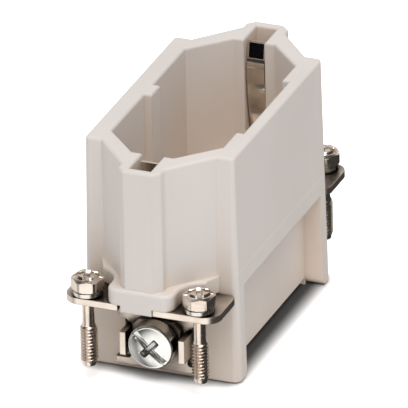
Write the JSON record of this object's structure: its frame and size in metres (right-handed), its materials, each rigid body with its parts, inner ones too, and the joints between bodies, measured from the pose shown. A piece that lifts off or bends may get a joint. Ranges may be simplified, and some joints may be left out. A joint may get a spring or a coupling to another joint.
{
  "type": "heavy duty connector insert",
  "caption": "Tall moulded power connector insert with recessed pins, earth brackets with terminal screws, and captive fixing screws at its corners.",
  "frame": {"origin": "the middle of the plan, level with the feet of the moulding", "axes": "+Z towards the mating face, +Y along the insert, +X across it on the side of the wide recess"},
  "size_m": [0.0376, 0.0855, 0.0563],
  "materials": {
    "housing_plastic": "satin moulded, light warm grey",
    "retainer_plastic": "satin moulded, grey",
    "bracket_nickel": "nickel plated sheet, slightly warm",
    "fixing_nickel": "nickel plated, warm",
    "washer_steel": "bright plated spring steel",
    "earth_screw_chrome": "bright plated",
    "spring_nickel": "copper alloy, nickel plated",
    "contact_silver": "copper alloy, silver plated",
    "cone_brass": "turned brass"
  },
  "bodies": {
    "insert": {"insulating_body": "housing_plastic", "contact_retainer": "retainer_plastic", "retainer_screw_1": "fixing_nickel", "pe_bracket_1": "bracket_nickel", "pe_clamp_1": "bracket_nickel", "pe_screw_1": "earth_screw_chrome", "pe_spring_1": "spring_nickel", "retainer_screw_2": "fixing_nickel", "pe_bracket_2": "bracket_nickel", "pe_clamp_2": "bracket_nickel", "pe_screw_2": "earth_screw_chrome", "pe_spring_2": "spring_nickel", "power_pin_1": "contact_silver", "cone_screw_1": "cone_brass", "power_pin_2": "contact_silver", "cone_screw_2": "cone_brass", "power_pin_3": "contact_silver", "cone_screw_3": "cone_brass", "power_pin_4": "contact_silver", "cone_screw_4": "cone_brass"},
    "washer_1": {"spring_washer_1": "washer_steel"},
    "screw_1": {"fixing_screw_1": "fixing_nickel"},
    "washer_2": {"spring_washer_2": "washer_steel"},
    "screw_2": {"fixing_screw_2": "fixing_nickel"},
    "washer_3": {"spring_washer_3": "washer_steel"},
    "screw_3": {"fixing_screw_3": "fixing_nickel"},
    "washer_4": {"spring_washer_4": "washer_steel"},
    "screw_4": {"fixing_screw_4": "fixing_nickel"}
  },
  "joints": [
    {"name": "fixing_screw_1_lift", "type": "slide", "parent": "insert", "child": "washer_1", "axis": [0, 0, 1], "range_m": [0, 0.006]},
    {"name": "fixing_screw_1_turn", "type": "hinge", "parent": "washer_1", "child": "screw_1", "pos_m": [-0.0135, -0.03875, 0.02415], "axis": [0, 0, 1], "continuous": true},
    {"name": "fixing_screw_2_lift", "type": "slide", "parent": "insert", "child": "washer_2", "axis": [0, 0, 1], "range_m": [0, 0.006]},
    {"name": "fixing_screw_2_turn", "type": "hinge", "parent": "washer_2", "child": "screw_2", "pos_m": [0.0135, -0.03875, 0.02415], "axis": [0, 0, 1], "continuous": true},
    {"name": "fixing_screw_3_lift", "type": "slide", "parent": "insert", "child": "washer_3", "axis": [0, 0, 1], "range_m": [0, 0.006]},
    {"name": "fixing_screw_3_turn", "type": "hinge", "parent": "washer_3", "child": "screw_3", "pos_m": [-0.0135, 0.03875, 0.02415], "axis": [0, 0, 1], "continuous": true},
    {"name": "fixing_screw_4_lift", "type": "slide", "parent": "insert", "child": "washer_4", "axis": [0, 0, 1], "range_m": [0, 0.006]},
    {"name": "fixing_screw_4_turn", "type": "hinge", "parent": "washer_4", "child": "screw_4", "pos_m": [0.0135, 0.03875, 0.02415], "axis": [0, 0, 1], "continuous": true}
  ]
}
